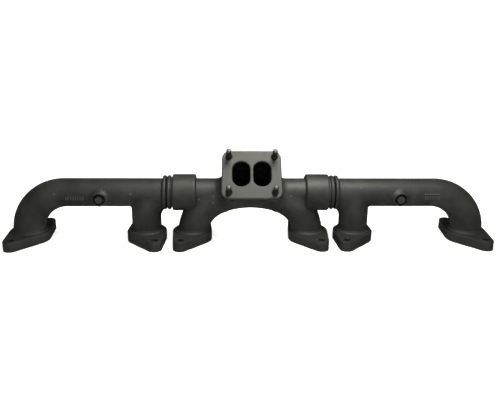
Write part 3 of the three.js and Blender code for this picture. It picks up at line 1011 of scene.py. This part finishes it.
def cast_iron_finish():
    """Heat-darkened cast iron: sandy skin, rubbed edges, painted shade in the gas side, the bolt holes
    and the hollows, a painted shadow on the flange tops, cut faces brighter.
    """
    iron = Finish("coated_iron", {"Specular IOR Level": 0.5})
    place = iron.place()
    sand = iron.noise(place, 480, 6, 0.62)
    lumps = iron.noise(place, 95, 4, 0.5)
    blotches = iron.between(iron.noise(place, 22, 5, 0.6), 0.34, 0.66)
    stains = iron.between(iron.noise(place, 61, 5, 0.65), 0.56, 0.78)
    towards_bottom = 1 - iron.between(iron.height(place), 0.004, 0.026)
    cut = iron.spread("machined")
    passage_shade = iron.spread("inside") * (1 - cut)
    ledge_shadow = iron.spread("ledge_shadow")
    patchy = iron.between(iron.noise(place, 140, 4, 0.6), 0.3, 0.6)
    rubbed = iron.spread("edge") * (1 - ledge_shadow) * patchy

    colour = iron.blend(blotches, IRON_DARK, IRON_LIGHT)
    colour = iron.blend(stains * 0.35, colour, RUST_TINT)
    # Darker, more neutral iron towards the bottom
    colour = iron.blend(towards_bottom * 0.6, colour, IRON_TOWARDS_BOTTOM)
    # Painted shadow on the flange tops under the log
    colour = iron.blend(ledge_shadow * 0.95, colour, PAINTED_SHADE)
    # Painted shade in hollows and creases
    colour = iron.blend(iron.spread("hollow") * 0.85, colour, PAINTED_SHADE)
    colour = iron.blend(rubbed * 0.4, colour, IRON_RUBBED)
    colour = iron.blend(iron.spread("mark") * 0.7, colour, IRON_RUBBED)
    # Painted shade inside the gas passages and bolt holes
    colour = iron.blend(passage_shade, colour, PASSAGE_SHADE)

    tool_lines = iron.noise(iron.stretched(place, (6, 260, 260)), 4, 3, 0.6)
    stained = iron.between(tool_lines, 0.35, 0.7) * 0.5 + blotches * 0.4
    cut_colour = iron.blend(stained, CUT_IRON, CUT_IRON_STAINED)
    colour = iron.blend(cut, colour, cut_colour)

    skin_roughness = 0.47 + sand * 0.16 + stains * 0.12
    roughness = skin_roughness + passage_shade * 0.35 + ledge_shadow * 0.3 + cut * 0.03 - rubbed * 0.06
    skin = sand * 0.55 + lumps * 0.8
    relief = skin * (1 - cut) + cut * tool_lines * 0.12
    iron.set(colour, roughness, relief, 0.5 * MM)
    iron.feed(iron.shader.inputs["Metallic"], cut * 0.1)
    return iron.material


THREAD_DARK = (0.008, 0.0075, 0.005, 1)
THREAD_CREST_SHEEN = (0.034, 0.031, 0.022, 1)
TIP_STEEL = (0.075, 0.074, 0.070, 1)


def stud_steel_finish():
    """Blackened steel thread, dark in its roots with a painted sheen on its crests, and a bright end."""
    steel = Finish("stud_steel", {"Metallic": 0.6})
    place = steel.place()
    grime = steel.noise(place, 320, 4, 0.6)
    crest_sheen = steel.spread("crest") * (0.4 + grime * 0.9)
    # Painted sheen on the thread crests
    colour = steel.blend(crest_sheen, THREAD_DARK, THREAD_CREST_SHEEN)
    colour = steel.blend(steel.spread("tip"), colour, TIP_STEEL)
    steel.set(colour, 0.34 + grime * 0.22, grime, 0.12 * MM)
    return steel.material


PLUG_PLATE = (0.052, 0.051, 0.045, 1)
PLUG_WORN = (0.028, 0.027, 0.023, 1)


def plug_steel_finish():
    """Dull plated steel, worn through in patches and scratched by spanners."""
    plug = Finish("plug_steel", {"Metallic": 0.35})
    place = plug.place()
    wear = plug.between(plug.noise(place, 210, 5, 0.65), 0.35, 0.7)
    scratches = plug.noise(plug.stretched(place, (700, 40, 700)), 2, 4, 0.6)
    colour = plug.blend(wear, PLUG_PLATE, PLUG_WORN)
    plug.set(colour, 0.36 + wear * 0.2, wear * 0.5 + scratches * 0.5, 0.15 * MM)
    return plug.material


RING_BRIGHT = (0.36, 0.35, 0.33, 1)
RING_TEMPERED = (0.16, 0.13, 0.11, 1)


def ring_steel_finish():
    """Turned ring steel, tempered brown in patches."""
    ring = Finish("ring_steel", {"Metallic": 0.9})
    place = ring.place()
    temper = ring.between(ring.noise(place, 55, 4, 0.6), 0.3, 0.7)
    turning = ring.noise(ring.stretched(place, (2400, 60, 60)), 1, 3, 0.6)
    colour = ring.blend(temper, RING_BRIGHT, RING_TEMPERED)
    ring.set(colour, 0.3 + temper * 0.2, turning, 0.06 * MM)
    return ring.material


FLOOR_PALE = (0.90, 0.90, 0.89, 1)
FLOOR_WHITE = (0.93, 0.93, 0.93, 1)
FLOOR_GLOW = 0.75


def floor_finish():
    """Pale paper with a glow of its own, so that it stays clear of shadows."""
    glow = {"Emission Color": FLOOR_PALE, "Emission Strength": FLOOR_GLOW}
    paper = Finish("studio_paper", {"Specular IOR Level": 0.1} | glow)
    fibres = paper.noise(paper.place(), 900, 3, 0.6)
    colour = paper.blend(fibres, FLOOR_PALE, FLOOR_WHITE)
    paper.set(colour, 0.9 + fibres * 0.05, fibres, 0.05 * MM)
    return paper.material


cast_iron = cast_iron_finish()
stud_steel = stud_steel_finish()
plug_steel = plug_steel_finish()
ring_steel = ring_steel_finish()


# The manifold. Each casting is looked for in a box, and its sides are given here

CENTRE_LOW = (0, -76, 0)
CENTRE_HIGH = (BELL_MOUTH, 72, 193)
END_LOW = (SPIGOT_END, -77, 0)
END_HIGH = (OUTER_PORT_X + HUB_R, 77, AXIS_Z + BELL_R)


def mirrored(shape):
    return lambda x, y, z: shape(-x, y, z)


def add_centre():
    skin = surface(centre_section, CENTRE_LOW, CENTRE_HIGH, half=True)
    shapes = (centre_section, centre_hollows, machined_centre)
    casting("centre_casting", shapes, skin, CENTRE_MARKS, "centre", "centre_section")


def add_ends():
    """The rear end casting, and the front one as its mirror image with marks of its own."""
    points, faces = surface(end_section, END_LOW, END_HIGH)
    shapes = (end_section, end_hollows, machined_end)
    casting("rear_casting", shapes, (points, faces), REAR_MARKS, "rear_end", "rear_end_section")
    shapes = (mirrored(end_section), mirrored(end_hollows), machined_end)
    skin = (points * np.array([-1, 1, 1]), faces[:, ::-1])
    casting("front_casting", shapes, skin, FRONT_MARKS, "front_end", "front_end_section")


add_centre()
add_ends()
add_studs()
for side, end_name in ((1, "rear"), (-1, "front")):
    add_plug(side, end_name)
    add_rings(side, end_name)


# Floor, light and camera

FLOOR_FLAT_R = 4
FLOOR_SWEEP_R = 9
FLOOR_SLOPE = math.radians(28)
FLOOR_RIM_R = 30
FLOOR_MIDDLE_R = 0.01
FLOOR_STEPS = 24
FLOOR_SEGMENTS = 128


def add_floor():
    """A flat floor that sweeps up into its own backdrop on every side. Its sizes are in metres."""
    outline = [(FLOOR_MIDDLE_R, 0)]
    for turn in np.linspace(0, FLOOR_SLOPE, FLOOR_STEPS):
        sweep_r = FLOOR_FLAT_R + FLOOR_SWEEP_R * math.sin(turn)
        outline.append((sweep_r, FLOOR_SWEEP_R * (1 - math.cos(turn))))
    last_r, last_z = outline[-1]
    outline.append((FLOOR_RIM_R, last_z + (FLOOR_RIM_R - last_r) * math.tan(FLOOR_SLOPE)))
    angles = np.linspace(0, 2 * math.pi, FLOOR_SEGMENTS, endpoint=False)
    points = [(r * math.cos(angle), r * math.sin(angle), z) for r, z in outline for angle in angles]
    faces = [tuple(range(FLOOR_SEGMENTS))]
    for row in range(len(outline) - 1):
        low, high = row * FLOOR_SEGMENTS, (row + 1) * FLOOR_SEGMENTS
        for i in range(FLOOR_SEGMENTS):
            j = (i + 1) % FLOOR_SEGMENTS
            faces.append((high + i, high + j, low + j, low + i))
    mesh = mesh_from("floor", np.array(points) / MM, faces)
    mesh.materials.append(floor_finish())
    floor = bpy.data.objects.new("floor", mesh)
    bpy.context.scene.collection.objects.link(floor)
    floor.visible_glossy = False


ORIGIN = (0, 0, 0)
SUN_SPREAD = math.radians(60)
WARM_WHITE = (0.985, 1, 0.89)


def add_light(name, kind, start, end, energy, glossy=True, **settings):
    """A light at start that points at end and isn't seen itself."""
    light = bpy.data.lights.new(name, kind)
    light.energy = energy
    for setting, value in settings.items():
        setattr(light, setting, value)
    lamp = bpy.data.objects.new(name, light)
    lamp.location = start
    lamp.rotation_euler = (Vector(end) - Vector(start)).to_track_quat("-Z", "Y").to_euler()
    lamp.visible_camera = False
    lamp.visible_glossy = glossy
    bpy.context.scene.collection.objects.link(lamp)


SKY_WHITE = (1, 1, 1, 1)
GROUND_GREY = (0.55, 0.55, 0.55, 1)
SKY_STRENGTH = 0.09
HORIZON = (-0.25, 0.15)


def add_world():
    """A faint white sky over a grey ground, blended a little either side of the horizon."""
    world = bpy.data.worlds.new("studio")
    world.use_nodes = True
    sky = Nodes(world.node_tree)
    rise = sky.between(sky.height(sky.place("Generated")), *HORIZON, "LINEAR")
    background = sky.tree.nodes["Background"]
    background.inputs["Strength"].default_value = SKY_STRENGTH
    sky.feed(background.inputs["Color"], sky.blend(rise, GROUND_GREY, SKY_WHITE))
    bpy.context.scene.world = world


CAMERA_LENS = 45.12
CAMERA_SENSOR = 36
CAMERA_DISTANCE = 1.27239
CAMERA_DOWN = math.radians(17.93)
CAMERA_ASIDE = math.radians(2.03)
CAMERA_ROLL = math.radians(0.62)
LOOK_AT = Vector((-1.17, AXIS_Y, 83.92)) * MM


def add_camera():
    """A level camera, turned aside, tilted down and then rolled a little about its own line of sight."""
    camera = bpy.data.objects.new("camera", bpy.data.cameras.new("camera"))
    camera.data.lens = CAMERA_LENS
    camera.data.sensor_width = CAMERA_SENSOR
    level = Vector((math.sin(CAMERA_ASIDE), math.cos(CAMERA_ASIDE), 0))
    forward = level * math.cos(CAMERA_DOWN) - Vector((0, 0, math.sin(CAMERA_DOWN)))
    right = Vector((math.cos(CAMERA_ASIDE), -math.sin(CAMERA_ASIDE), 0))
    above = right.cross(forward)
    rolled_right = right * math.cos(CAMERA_ROLL) + above * math.sin(CAMERA_ROLL)
    rolled_above = above * math.cos(CAMERA_ROLL) - right * math.sin(CAMERA_ROLL)
    turn = Matrix((rolled_right, rolled_above, -forward)).transposed()
    camera.matrix_world = Matrix.Translation(LOOK_AT - forward * CAMERA_DISTANCE) @ turn.to_4x4()
    bpy.context.scene.collection.objects.link(camera)
    bpy.context.scene.camera = camera


add_floor()
add_world()
add_light("front_fill", "SUN", (0.15, -1.0, 0.45), ORIGIN, 0.75, angle=SUN_SPREAD)
add_light("softbox", "AREA", (0.11, -0.22, 0.78), (0.06, 0, 0.1), 9, size=0.35, color=WARM_WHITE)
add_light("back_fill", "SUN", (-0.4, 1.0, 0.5), ORIGIN, 1.6, glossy=False, angle=SUN_SPREAD)
add_camera()
bpy.context.scene.view_settings.view_transform = "Standard"
